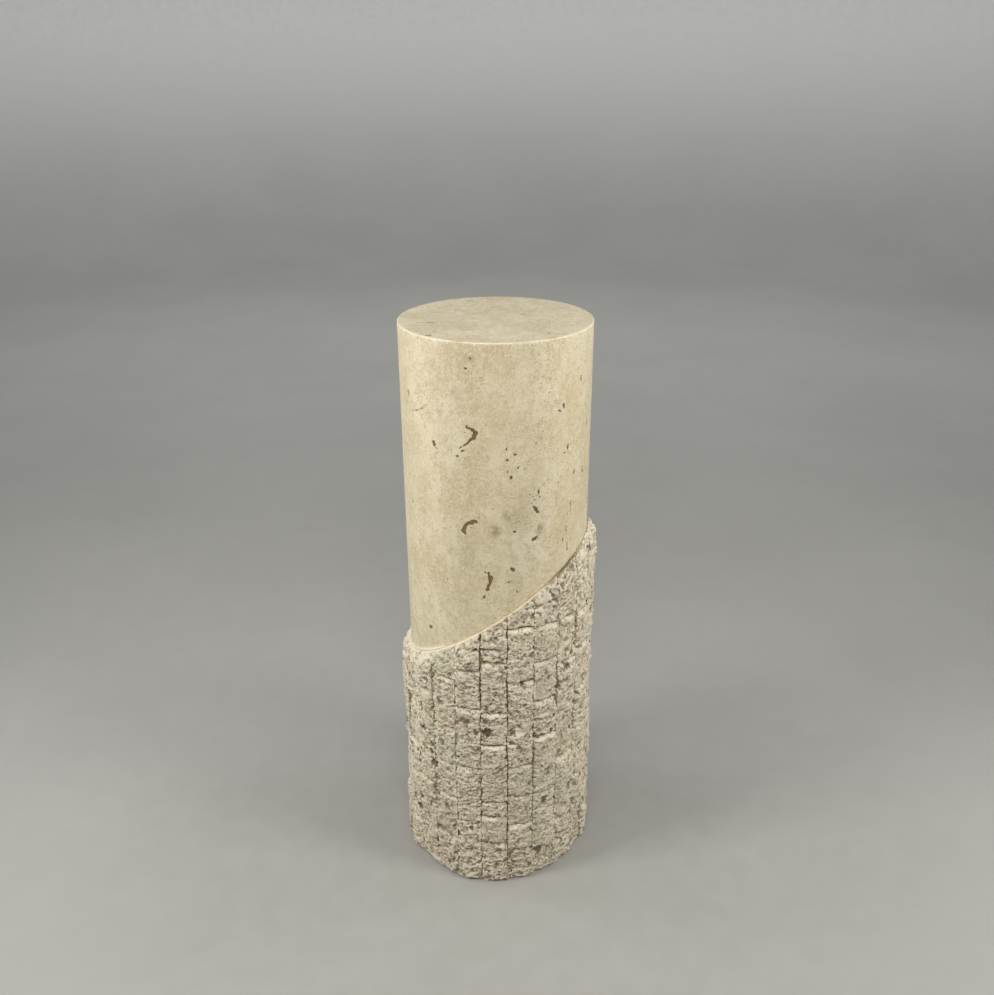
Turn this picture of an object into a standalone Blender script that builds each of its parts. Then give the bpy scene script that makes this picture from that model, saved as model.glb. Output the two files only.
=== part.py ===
# Round stone display pedestal. A honed limestone drum stands on the floor, and
# below a slanted line it is clad in upright rows of rough split stones.
# Metres, +Z up. The origin is the middle of the underside.
# Bearings are counted from the front (-Y) towards the right-hand side (+X).

import math
import random

import bmesh
import bpy

MILLIMETRE = 0.001

# Drum
SHAFT_HEIGHT = 0.910
SHAFT_RADIUS = 0.140
TOP_ARRIS = 0.0012

# Slanted line where the honed face ends and the split stones begin
BORDER_HEIGHT = 0.486
BORDER_TILT = math.radians(36)
BORDER_HIGH_BEARING = math.radians(86)

# Rows of stones, and the bed in the drum that carries them
ROW_COUNT = 23
FIRST_JOINT_BEARING = math.radians(5.8)
JOINT_WIDTH = 0.0022
BED_DEPTH = 0.012
SEAT_GAP = 0.0003

# How far the stones stand out of the drum's honed face
STONE_PROUD_LEAST = 0.0090
STONE_PROUD_MOST = 0.0180
BORDER_PROUD = 0.0060
BORDER_EASING = 0.018

# The hewn faces: chipped sides, notched bed joints and a chipped foot
HEWN_ROUGHNESS = 0.0026
SIDE_DROP = 0.0022
BED_NOTCH = 0.0040
NOTCH_HALF_HEIGHT = 0.0030
BED_LEAN = 0.0025
FOOT_CHIP = 0.0050

# Heights of the stones in a row
STONE_SHORTEST = 0.045
STONE_TALLEST = 0.105
TOP_STONE_SHORTEST = 0.012
TWO_BULGES_FROM = 0.060

# Bed joints of the rows that face forward, in millimetres above the floor, by
# row number. The other rows draw theirs from a seeded generator.
FRONT_BEDS = {
    1: (66, 117, 174, 234, 300, 390, 484),
    2: (58, 175, 283, 348, 419, 481),
    3: (50, 136, 224, 315, 405, 481),
    21: (75, 159, 225, 296, 385),
    22: (120, 228, 341, 410),
    23: (82, 136, 166, 276, 335, 426),
}
SEED = 417

# Where the hewn face has its points across a row, from its left side (-1) to
# its right side (1), and up the stone below the slanted line
FACE_COLUMNS = (-1.0, -0.6, 0.0, 0.6, 1.0)
TOP_STONE_LEVELS = (0.35, 0.65, 0.85)

HONED_CREAM = (0.62, 0.53, 0.36)
SPLIT_GREY = (0.47, 0.42, 0.34)
ROW_TINTS = (
    (0.02, 0.01, 0.00),
    (-0.03, -0.02, -0.02),
    (0.03, -0.01, -0.01),
    (-0.01, 0.01, -0.01),
)

FACETS_PER_ROW = len(FACE_COLUMNS) - 1
ROW_ANGLE = 2 * math.pi / ROW_COUNT
BED_RADIUS = SHAFT_RADIUS - BED_DEPTH
CLADDING_RADIUS = BED_RADIUS + SEAT_GAP


def clear_scene():
    for item in list(bpy.data.objects):
        bpy.data.objects.remove(item, do_unlink=True)


def stone_material(name, colour, roughness):
    material = bpy.data.materials.new(name)
    material.use_nodes = True
    shader = material.node_tree.nodes["Principled BSDF"]
    shader.inputs["Base Color"].default_value = (*colour, 1.0)
    shader.inputs["Roughness"].default_value = roughness
    shader.inputs["Metallic"].default_value = 0.0
    return material


def place(bearing, radius, height):
    return (radius * math.sin(bearing), -radius * math.cos(bearing), height)


def border_height(bearing, radius):
    """Height of the slanted plane over a point of the plan."""
    rise = math.tan(BORDER_TILT) * math.cos(bearing - BORDER_HIGH_BEARING)
    return BORDER_HEIGHT + radius * rise


def top_edge_height(bearing):
    """Height of the cladding's outer top edge, which ends on the slanted plane."""
    return border_height(bearing, SHAFT_RADIUS + BORDER_PROUD) - SEAT_GAP


def finish(name, shape, material):
    """Turns a bmesh into a named object with its own material."""
    mesh = bpy.data.meshes.new(name)
    shape.to_mesh(mesh)
    shape.free()
    mesh.materials.append(material)
    item = bpy.data.objects.new(name, mesh)
    bpy.context.collection.objects.link(item)
    return item


def make_shaft():
    """The drum: full size above the slanted line, set back below it as a bed for the stones."""
    facets = ROW_COUNT * FACETS_PER_ROW
    bearings = [FIRST_JOINT_BEARING + 2 * math.pi * index / facets for index in range(facets)]
    shaft = bmesh.new()

    def ring(radius, height_over):
        points = []
        for bearing in bearings:
            points.append(shaft.verts.new(place(bearing, radius, height_over(bearing, radius))))
        return points

    rings = [
        ring(BED_RADIUS, lambda bearing, radius: 0.0),
        ring(BED_RADIUS, border_height),
        ring(SHAFT_RADIUS, border_height),
        ring(SHAFT_RADIUS, lambda bearing, radius: SHAFT_HEIGHT - TOP_ARRIS),
        ring(SHAFT_RADIUS - TOP_ARRIS, lambda bearing, radius: SHAFT_HEIGHT),
    ]
    for lower, upper in zip(rings, rings[1:]):
        for here in range(facets):
            after = (here + 1) % facets
            shaft.faces.new((lower[here], lower[after], upper[after], upper[here]))
    shaft.faces.new(rings[0][::-1])
    shaft.faces.new(rings[-1])
    item = finish("smooth_shaft", shaft, stone_material("honed limestone", HONED_CREAM, 0.45))
    item.data.shade_smooth()
    item.data.set_sharp_from_angle(angle=math.radians(30))
    return item


def bed_heights(number, draw, ceiling):
    """Undersides of one row's stones, from the floor up to the last one that fits."""
    highest = ceiling - TOP_STONE_SHORTEST
    heights = [0.0]
    heights += [height * MILLIMETRE for height in FRONT_BEDS.get(number, ())]
    heights = [height for height in heights if height < highest]
    while highest - heights[-1] > STONE_TALLEST:
        heights.append(heights[-1] + draw.uniform(STONE_SHORTEST, STONE_TALLEST))
    return heights


class HewnFace:
    """The hewn outer face of one row, built up level by level from the floor."""

    def __init__(self, shape, bearings, draw):
        self.shape = shape
        self.bearings = bearings
        self.draw = draw
        self.levels = []

    def radius(self, column, bearing, height, proud, roughness):
        """Distance from the axis. The face eases in towards the slanted line."""
        depth = top_edge_height(bearing) - height
        ease = math.sqrt(min(1.0, max(0.0, depth) / BORDER_EASING))
        chip = SIDE_DROP if abs(column) == 1.0 else 0.0
        rough = self.draw.uniform(-roughness, roughness)
        return SHAFT_RADIUS + BORDER_PROUD + ease * (proud - BORDER_PROUD - chip + rough)

    def add_level(self, height_at, proud, roughness):
        points = []
        for column, bearing in zip(FACE_COLUMNS, self.bearings):
            height = height_at(column, bearing)
            radius = self.radius(column, bearing, height, proud, roughness)
            points.append(self.shape.verts.new(place(bearing, radius, height)))
        self.levels.append(points)

    def add_top(self):
        points = []
        for bearing in self.bearings:
            height = top_edge_height(bearing)
            points.append(self.shape.verts.new(place(bearing, SHAFT_RADIUS + BORDER_PROUD, height)))
        self.levels.append(points)

    def skin(self):
        for lower, upper in zip(self.levels, self.levels[1:]):
            for left in range(len(FACE_COLUMNS) - 1):
                corners = (lower[left], lower[left + 1], upper[left + 1], upper[left])
                self.shape.faces.new(corners)


def fan_side(shape, back_low, back_high, edge, is_left):
    """One stone's side: the edge of its hewn face, fanned out from its two back corners."""
    middle = len(edge) // 2
    triangles = [(back_low, *pair) for pair in zip(edge[:middle], edge[1:middle + 1])]
    triangles.append((back_low, edge[middle], back_high))
    triangles += [(back_high, *pair) for pair in zip(edge[middle:], edge[middle + 1:])]
    for corners in triangles:
        shape.faces.new(corners if is_left else corners[::-1])


def close_behind(shape, face, backs, bed_levels):
    """Closes a row behind its hewn face: the back, the sides of each stone, the foot and the top."""
    for left in range(FACETS_PER_ROW):
        right = left + 1
        foot = face.levels[0]
        top = face.levels[-1]
        shape.faces.new((backs[0][left], backs[0][right], foot[right], foot[left]))
        shape.faces.new((top[left], top[right], backs[-1][right], backs[-1][left]))
        for lower, upper in zip(backs, backs[1:]):
            shape.faces.new((lower[right], lower[left], upper[left], upper[right]))
    for stone, (start, end) in enumerate(zip(bed_levels, bed_levels[1:])):
        levels = face.levels[start:end + 1]
        for side in (0, -1):
            edge = [level[side] for level in levels]
            fan_side(shape, backs[stone][side], backs[stone + 1][side], edge, side == 0)


def make_row(number):
    """One upright row of split stones, fused where their bed joints touch."""
    draw = random.Random(SEED + number)
    middle = FIRST_JOINT_BEARING + (number - 0.5) * ROW_ANGLE
    half_angle = ROW_ANGLE / 2 - JOINT_WIDTH / 2 / SHAFT_RADIUS
    bearings = [middle + half_angle * column for column in FACE_COLUMNS]
    ceiling = min(top_edge_height(bearing) for bearing in bearings)
    beds = bed_heights(number, draw, ceiling)
    leans = [0.0] + [draw.uniform(-BED_LEAN, BED_LEAN) for _ in beds[1:]]
    prouds = [draw.uniform(STONE_PROUD_LEAST, STONE_PROUD_MOST) for _ in beds]

    row = bmesh.new()
    face = HewnFace(row, bearings, draw)
    bed_levels = []
    for index, bed in enumerate(beds):
        bed_levels.append(len(face.levels))
        lean = leans[index]
        proud = prouds[index]

        def bed_line(column, bearing, bed=bed, lean=lean):
            return bed + lean * column

        if index == 0:
            face.add_level(bed_line, proud - FOOT_CHIP, 0.0)
        else:
            face.add_level(bed_line, min(proud, prouds[index - 1]) - BED_NOTCH, 0.0)

        edge = FOOT_CHIP if index == 0 else NOTCH_HALF_HEIGHT
        face.add_level(lambda column, bearing: bed_line(column, bearing) + edge,
                       proud, HEWN_ROUGHNESS)
        if index == len(beds) - 1:
            for share in TOP_STONE_LEVELS:
                face.add_level(
                    lambda column, bearing: (1 - share) * bed_line(column, bearing)
                    + share * top_edge_height(bearing),
                    proud, HEWN_ROUGHNESS)
            continue

        next_bed = beds[index + 1]
        next_lean = leans[index + 1]
        bulges = 2 if next_bed - bed > TWO_BULGES_FROM else 1
        for bulge in range(1, bulges + 1):
            share = bulge / (bulges + 1)
            face.add_level(
                lambda column, bearing: (1 - share) * bed_line(column, bearing)
                + share * (next_bed + next_lean * column),
                proud, HEWN_ROUGHNESS)
        face.add_level(lambda column, bearing: next_bed + next_lean * column - NOTCH_HALF_HEIGHT,
                       proud, HEWN_ROUGHNESS)
    bed_levels.append(len(face.levels))
    face.add_top()
    face.skin()

    def back_ring(height_at):
        points = []
        for step in range(FACETS_PER_ROW + 1):
            bearing = middle + half_angle * (2 * step / FACETS_PER_ROW - 1)
            points.append(row.verts.new(place(bearing, CLADDING_RADIUS, height_at(bearing))))
        return points

    backs = [back_ring(lambda bearing, bed=bed: bed) for bed in beds]
    backs.append(back_ring(lambda bearing: border_height(bearing, CLADDING_RADIUS) - SEAT_GAP))
    close_behind(row, face, backs, bed_levels)
    bmesh.ops.triangulate(row, faces=row.faces)

    tint = ROW_TINTS[number % len(ROW_TINTS)]
    colour = [base + shift for base, shift in zip(SPLIT_GREY, tint)]
    name = f"split_stone_row_{number:02d}"
    return finish(name, row, stone_material(name + " stone", colour, 0.9))


clear_scene()
make_shaft()
for row_number in range(1, ROW_COUNT + 1):
    make_row(row_number)
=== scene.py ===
import math
import random

import bmesh
import bpy
import numpy as np
from mathutils import Matrix, Vector, noise
from mathutils.bvhtree import BVHTree


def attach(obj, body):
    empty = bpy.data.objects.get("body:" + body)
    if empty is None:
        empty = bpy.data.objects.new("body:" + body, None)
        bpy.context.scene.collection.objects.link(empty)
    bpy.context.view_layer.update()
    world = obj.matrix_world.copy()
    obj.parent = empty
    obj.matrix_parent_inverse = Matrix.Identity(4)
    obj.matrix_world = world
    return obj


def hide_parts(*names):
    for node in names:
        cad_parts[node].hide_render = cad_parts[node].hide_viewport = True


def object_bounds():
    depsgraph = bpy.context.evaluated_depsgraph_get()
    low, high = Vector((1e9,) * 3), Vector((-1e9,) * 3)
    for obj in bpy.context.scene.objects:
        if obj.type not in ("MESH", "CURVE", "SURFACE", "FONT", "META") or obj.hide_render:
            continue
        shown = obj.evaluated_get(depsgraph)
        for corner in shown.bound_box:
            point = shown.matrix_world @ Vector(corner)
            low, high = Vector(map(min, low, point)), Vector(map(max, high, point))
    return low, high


# A round display pedestal of fossil limestone: a honed drum, and under a slanted
# line the upright rows of rough split stones that clad it. Metres, +Z up.
# Bearings are counted from the front (-Y) towards the right-hand side (+X).

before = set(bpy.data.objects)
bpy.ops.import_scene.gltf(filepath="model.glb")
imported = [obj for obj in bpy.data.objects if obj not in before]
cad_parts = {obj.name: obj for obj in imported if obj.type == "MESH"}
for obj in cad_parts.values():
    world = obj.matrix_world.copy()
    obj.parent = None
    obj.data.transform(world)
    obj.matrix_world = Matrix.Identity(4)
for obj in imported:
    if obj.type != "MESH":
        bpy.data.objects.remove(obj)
cad_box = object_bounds()

MM = 0.001
SEED = 90

# Marks in the honed face: the stroke's width and its depth in
# millimetres, then its points as bearing in degrees and height in millimetres
FOSSILS = (
    (3.6, 0.7, ((-16.4, 793), (-13.6, 790))),
    (4.4, 0.9, ((-13.4, 790), (-11.4, 787))),
    (6.2, 1.0, ((-11.3, 786), (-12.0, 779.6))),
    (4.4, 0.8, ((-12.6, 778), (-15.2, 773))),
    (3.0, 0.6, ((-15.6, 772), (-18.2, 766))),
    (3.2, 0.4, ((-18.5, 759), (-19.2, 757))),
    (2.2, 0.3, ((-21.6, 751), (-22.4, 749))),
    (1.8, 0.3, ((-19.6, 764), (-20.8, 762))),
    (3.4, 0.7, ((-18.5, 633.6), (-18.9, 636.0))),
    (6.6, 1.0, ((-19.1, 637), (-18.8, 643.0))),
    (4.8, 1.0, ((-18.4, 645.0), (-15.8, 650.8))),
    (5.8, 1.0, ((-14.8, 652.0), (-12.0, 654))),
    (1.8, 0.3, ((-10.2, 660), (-10.4, 662))),
    (3.0, 0.6, ((-4.7, 574.0), (-4.3, 569.0))),
    (6.4, 1.0, ((-3.9, 567.0), (-3.6, 561.0))),
    (4.8, 1.0, ((-3.9, 558), (-5.0, 551.0))),
    (3.2, 0.6, ((-5.2, 549), (-5.4, 546))),
    (3.4, 0.5, ((-7.2, 535), (-7.5, 533))),
    (1.8, 0.4, ((-6.6, 575), (-6.4, 573))),
    (5.2, 0.8, ((-38.2, 762.8), (-37.5, 759.6))),
    (2.0, 0.4, ((-36.4, 756), (-35.8, 755))),
    (5.6, 0.7, ((9.2, 579), (9.6, 577))),
    (5.8, 0.7, ((22.4, 622), (23.2, 623))),
    (2.2, 0.4, ((24.2, 625), (24.8, 626))),
    (4.0, 0.8, ((22.0, 673), (23.2, 669))),
    (4.8, 0.8, ((23.6, 667), (24.6, 664))),
    (1.8, 0.3, ((20.4, 680), (20.7, 679))),
    (1.6, 0.3, ((22.6, 683), (22.8, 684))),
    (1.8, 0.3, ((21.6, 688), (21.8, 689))),
    (1.6, 0.3, ((24, 690), (24.3, 689))),
    (2.0, 0.4, ((25.6, 685), (25.9, 686))),
    (1.6, 0.3, ((19.6, 694), (19.9, 693))),
    (2.8, 0.5, ((25, 696), (25.4, 694))),
    (4.0, 0.6, ((10.4, 638), (10.8, 637))),
    (3.2, 0.6, ((8.3, 722), (8.5, 720))),
    (3.0, 0.5, ((10.4, 755), (10.6, 754))),
    (2.8, 0.5, ((6.1, 748), (6.3, 746))),
    (2.2, 0.4, ((5.6, 765), (5.8, 763))),
    (2.2, 0.4, ((12.2, 735), (12.4, 734))),
    (2.2, 0.4, ((6.2, 731), (6.4, 729))),
    (3.0, 0.5, ((41.2, 815), (41.7, 810))),
    (2.6, 0.4, ((37.8, 808), (39, 807))),
    (2.2, 0.6, ((45.9, 753), (46, 747))),
    (2.8, 0.6, ((42.6, 744), (43.3, 743))),
    (2.4, 0.5, ((52.4, 711), (52.6, 706))),
    (1.8, 0.4, ((38.8, 703), (38.9, 700))),
    (1.6, 0.4, ((49.8, 665), (49.9, 649))),
    (2.0, 0.4, ((43.4, 610), (43.5, 604))),
    (1.8, 0.4, ((46.1, 625), (46.2, 618))),
    (1.8, 0.4, ((47.3, 599), (47.6, 587))),
    (1.8, 0.4, ((6.7, 559), (6.9, 557))),
    (2.0, 0.4, ((12.3, 543), (12.5, 541))),
    (2.6, 0.5, ((-61.1, 657), (-60.9, 652))),
    (2.4, 0.5, ((-60.8, 824), (-60, 818))),
    (1.0, 0.3, ((-58.7, 798), (-53.6, 800), (-47.1, 806), (-42.8, 816))),
    (5.2, 0.6, ((-45.3, 459), (-46.5, 458))),
    (1.8, 0.3, ((-69.6, 456), (-70.4, 455))),
    (2.4, 0.3, ((-14.2, 890), (-13.6, 888))),
    (2.0, 0.3, ((-17, 875), (-16.2, 874))),
    (2.0, 0.4, ((57.1, 847), (57.2, 840))),
    (2.0, 0.4, ((67.4, 775), (67.4, 765))),
    (2.0, 0.4, ((63.2, 706), (63.4, 697))),
    (2.2, 0.4, ((74.4, 649), (74.6, 637))),
    (1.6, 0.3, ((-37.0, 494), (-36.6, 493))),
)

# The same for the top face, as X and Y in shares of the drum's radius
TOP_FOSSILS = (
    (3.0, 0.4, ((-0.30, 0.77), (-0.24, 0.775))),
    (1.4, 0.2, ((-0.10, 0.875), (-0.02, 0.88))),
    (3.0, 0.4, ((0.26, 0.14), (0.30, 0.145))),
    (2.4, 0.4, ((-0.68, -0.19), (-0.62, -0.185))),
    (1.0, 0.2, ((-0.80, -0.18), (-0.68, -0.185))),
    (3.2, 0.5, ((-0.66, -0.70), (-0.61, -0.695))),
    (1.2, 0.2, ((-0.46, 0.36), (-0.36, 0.37))),
    (1.4, 0.2, ((0.09, 0.37), (0.13, 0.37))),
    (1.2, 0.2, ((-0.66, 0.22), (-0.58, 0.22))),
    (1.0, 0.2, ((-0.30, 0.20), (-0.14, 0.20))),
    (1.8, 0.3, ((0.50, -0.64), (0.52, -0.64))),
)

# Soft discolourings of the honed face: bearing, height, half width and half
# height in millimetres, and strength
GREY_STAINS = (
    (-0.6, 640, 8, 9, 1.7),
    (6.9, 664, 9, 7, 1.4),
    (25.8, 637, 6, 8, 1.7),
    (12.4, 659, 26, 24, 0.6),
    (18.4, 687, 18, 20, 0.45),
    (-14, 889, 6, 5, 0.9),
    (27, 731, 5, 12, 0.45),
    (-4.5, 497, 14, 5, 0.4),
    (-23.4, 842, 9, 6, 0.45),
    (-29.6, 797, 6, 6, 0.3),
    (0.9, 869, 10, 5, 0.3),
    (20.4, 890, 10, 12, 0.4),
    (-13.6, 602, 22, 26, 0.2),
    (4.4, 607, 20, 30, 0.2),
)
BROWN_STAINS = (
    (43.4, 847, 5, 22, 0.5),
    (48.4, 835, 4, 28, 0.6),
    (53.4, 822, 5, 24, 0.6),
    (58.4, 847, 4, 16, 0.4),
    (46.9, 797, 4, 18, 0.4),
    (52.4, 607, 5, 26, 0.5),
    (40.4, 595, 8, 18, 0.4),
    (30.4, 572, 16, 12, 0.35),
    (-11.6, 694, 8, 6, 0.3),
    (-11.2, 818, 6, 3, 0.4),
    (-38, 675, 10, 5, 0.3),
    (1.4, 737, 5, 40, 0.25),
)
TOP_STAINS = (
    (-0.30, -0.46, 10, 6, 0.5),
    (0.52, 0.66, 10, 5, 0.5),
    (-0.05, 0.45, 22, 4, 0.25),
    (0.28, -0.83, 8, 4, 0.4),
    (-0.45, 0.05, 20, 5, 0.2),
    (0.15, -0.30, 26, 8, 0.15),
)

# Chips along the drum's top edge: bearing in degrees, width and depth in millimetres
RIM_CHIPS = (
    (-11.5, 3.5, 1.3),
    (-46.0, 3.0, 1.0),
    (-31.0, 1.8, 0.7),
    (17.0, 4.5, 0.9),
    (52.0, 2.2, 0.8),
    (105.0, 3.6, 1.2),
    (160.0, 2.4, 0.9),
    (-120.0, 4.0, 1.1),
    (-172.0, 2.0, 0.8),
)

# Marks and stains drawn by chance on the sides that are turned away
FAR_MARKS = 34
FAR_STAINS = 16

# The rounding of the drum's top edge
ARRIS = 1.6 * MM

# How the drum's mesh is divided: round it, up its side, over its top edge and
# across its top, and how finely the faces within reach of a mark are cut
DRUM_FACETS = 192
BAND_RINGS = 104
ARRIS_RINGS = 3
TOP_RINGS = 26
FINE_CUTS = 3
FINE_REACH = 4.0

# How a row of stones is divided: columns across it, and millimetres up each level
COLUMNS = 36
LEVEL_STEP = 1.22

# How far the stones stand out of the honed face, in millimetres: at the slanted
# line, and on the whole
EDGE_PROUD = 6
SKIN_PROUD = 12

# Width in millimetres of the upright joints at heights above the floor, by the
# number of the row to their left, and the width of all the others
OPEN_JOINTS = {
    20: ((0, 0.6), (60, 1.0), (150, 0.6), (380, 0.6), (420, 1.6), (470, 1.3)),
    21: ((0, 0.7), (80, 1.8), (270, 1.9), (310, 0.9), (450, 0.9), (480, 1.3)),
    22: ((0, 0.7), (120, 1.2), (200, 1.6), (300, 2.1), (470, 2.3)),
    23: ((0, 0.7), (70, 1.3), (250, 2.0), (480, 2.3)),
    1: ((0, 0.7), (180, 0.8), (240, 1.6), (370, 1.8), (420, 0.9), (520, 1.3)),
    2: ((0, 1.0), (120, 1.3), (200, 0.6), (260, 1.5), (300, 1.5), (340, 0.7), (400, 1.7), (440, 0.5)),
}
OTHER_JOINTS = ((0, 0.9), (500, 0.9))

# Bed joints that stand open, by row number and the joint's place counted from the
# floor: depth and half height in millimetres. The others are drawn by chance.
OPEN_BEDS = {
    (22, 1): (3.5, 1.1),
    (22, 2): (4.5, 1.0),
    (22, 3): (5.5, 1.1),
    (22, 4): (0.5, 1.0),
    (23, 1): (0.6, 1.2),
    (23, 2): (3.8, 1.1),
    (23, 3): (3.4, 1.4),
    (23, 4): (4.2, 1.1),
    (23, 5): (1.6, 1.2),
    (23, 6): (4.0, 1.4),
    (1, 1): (0.5, 1.4),
    (1, 2): (1.4, 1.0),
    (1, 3): (1.0, 1.2),
    (1, 4): (2.4, 1.2),
    (1, 5): (0.9, 1.0),
    (1, 6): (0.8, 1.0),
    (1, 7): (5.5, 1.4),
    (2, 1): (0.5, 1.2),
    (2, 2): (0.9, 1.2),
    (2, 3): (8.0, 1.9),
    (2, 4): (3.0, 1.2),
    (2, 5): (4.0, 1.5),
    (2, 6): (2.6, 1.1),
    (3, 3): (4.2, 1.2),
    (3, 6): (4.0, 1.1),
}

# Hollows and dark pits in the split stones: bearing in degrees, height, radius
# and depth in millimetres, and how brown they are
HOLLOWS = (
    (-6.2, 301, 8.4, 4.0, 1.15),
    (-12.5, 297, 4.4, 2.6, 0.7),
    (8.4, 301, 6.4, 3.0, 0.75),
    (8.0, 282, 4.4, 2.4, 0.6),
    (-49.5, 274, 5.8, 3.0, 0.8),
    (-43.0, 250, 6.0, 3.0, 0.75),
    (-43.8, 236, 5.4, 3.5, 0.85),
    (-42.6, 213, 5.6, 3.0, 0.85),
    (-57.4, 192, 5.0, 3.0, 1.0),
    (-59.3, 96, 7.6, 4.5, 1.1),
    (-16.3, 110, 4.2, 2.5, 0.8),
    (-24.5, 246, 3.0, 4.0, 0.8),
    (-12.1, 450, 3.4, 2.0, 0.8),
    (14.0, 388, 4.0, 3.0, 0.8),
    (43.3, 398, 8.0, 3.5, 0.7),
    (37.7, 365, 4.6, 2.2, 0.7),
    (35.4, 314, 3.2, 3.5, 0.8),
    (33.5, 289, 4.0, 5.0, 0.8),
    (22.4, 288, 3.4, 5.0, 0.7),
    (38.0, 226, 3.4, 4.0, 0.8),
    (-27.4, 46, 3.0, 3.0, 0.7),
    (55.0, 330, 3.0, 2.5, 0.7),
    (50.0, 270, 2.8, 2.5, 0.7),
    (47.0, 180, 3.0, 2.5, 0.6),
)

# Stones whose colour stands out: bearing, height, half width and half height in
# millimetres, paleness from -1 (dark) to 1 (white), greenness from -1 (pink) to 1
PATCHES = (
    (11.6, 229, 10, 8, 1.5, 0.1),
    (-10.5, 111, 8, 9, 1.3, 0.5),
    (-4.0, 388, 15, 16, 0.5, 0.1),
    (-4.0, 345, 15, 12, 0.3, 0.0),
    (-24.0, 455, 12, 16, 0.5, 0.2),
    (14.0, 462, 14, 16, 0.4, 0.2),
    (14.0, 330, 16, 20, -0.3, 0.4),
    (30.0, 245, 14, 26, 0.4, 0.2),
    (-52.0, 420, 16, 50, 0.8, 0.0),
    (-48.0, 250, 14, 26, -0.4, -0.2),
    (0.0, 108, 12, 10, 0.2, 0.7),
    (-17.5, 74, 11, 12, 0.1, 0.7),
    (27.9, 404, 14, 14, 0.5, -0.1),
    (13.0, 505, 18, 20, -0.9, -0.2),
    (19.5, 512, 5, 18, 0.1, 0.8),
    (-2.0, 452, 17, 24, -0.6, 0.1),
    (66.0, 568, 12, 18, 0.4, 0.9),
    (12.0, 262, 14, 10, 0.3, 0.6),
    (-16.0, 395, 18, 26, 0.1, 0.4),
    (-33.0, 320, 16, 40, -0.1, -0.7),
    (-17.0, 300, 14, 20, 0.2, 0.3),
    (-42.0, 350, 16, 30, 0.5, 0.1),
    (-2.0, 200, 16, 14, -0.1, -0.5),
    (28.0, 190, 18, 40, 0.2, 0.5),
    (36.0, 470, 20, 22, 0.6, 0.0),
)

# Stones whose skin differs from the rest, by row number and the stone's place
# counted from the floor: how lumpy, how flaky and how pitted
STONE_SKINS = {
    (22, 0): (1.2, 0.7, 0.6),
    (22, 1): (0.5, 1.8, 0.0),
    (22, 2): (0.8, 0.9, 0.5),
    (22, 3): (0.6, 1.3, 0.3),
    (22, 4): (0.8, 0.9, 0.8),
    (23, 0): (1.3, 0.9, 0.5),
    (23, 1): (0.5, 0.3, 0.0),
    (23, 2): (0.6, 1.2, 0.0),
    (23, 3): (0.6, 1.3, 0.0),
    (23, 4): (0.9, 0.4, 0.6),
    (23, 5): (0.7, 0.6, 0.2),
    (23, 6): (0.9, 1.4, 0.2),
    (1, 2): (0.5, 0.3, 0.3),
    (1, 3): (0.6, 1.0, 0.2),
    (1, 6): (0.6, 0.4, 0.6),
    (1, 7): (1.2, 0.5, 1.3),
    (2, 2): (0.45, 0.25, 0.4),
    (2, 5): (0.5, 0.25, 0.4),
}


class Wire:
    """A shader value. A sum or product written with it adds its Math node."""

    def __init__(self, finish, socket):
        self.finish = finish
        self.socket = socket

    def maths(self, operation, *values):
        return self.finish.node("ShaderNodeMath", {"operation": operation}, dict(enumerate(values)))

    def __add__(self, other):
        return self.maths("ADD", self, other)

    __radd__ = __add__

    def __sub__(self, other):
        return self.maths("SUBTRACT", self, other)

    def __rsub__(self, other):
        return self.maths("SUBTRACT", other, self)

    def __mul__(self, other):
        return self.maths("MULTIPLY", self, other)

    __rmul__ = __mul__

    def __truediv__(self, other):
        return self.maths("DIVIDE", self, other)

    def __pow__(self, other):
        return self.maths("POWER", self, other)

    def floor(self):
        return self.maths("FLOOR", self)

    def fraction(self):
        return self.maths("FRACT", self)

    def size(self):
        return self.maths("ABSOLUTE", self)

    def most(self, other):
        return self.maths("MAXIMUM", self, other)

    def between(self, low, high, start=0.0, end=1.0):
        """Eases from start to end as the value goes from low to high."""
        inputs = {"Value": self, "From Min": low, "From Max": high, "To Min": start, "To Max": end}
        return self.finish.node("ShaderNodeMapRange", {"interpolation_type": "SMOOTHSTEP"}, inputs)

    def below(self, low, high):
        """1 up to low, easing to 0 at high."""
        return self.between(low, high, 1.0, 0.0)


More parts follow.
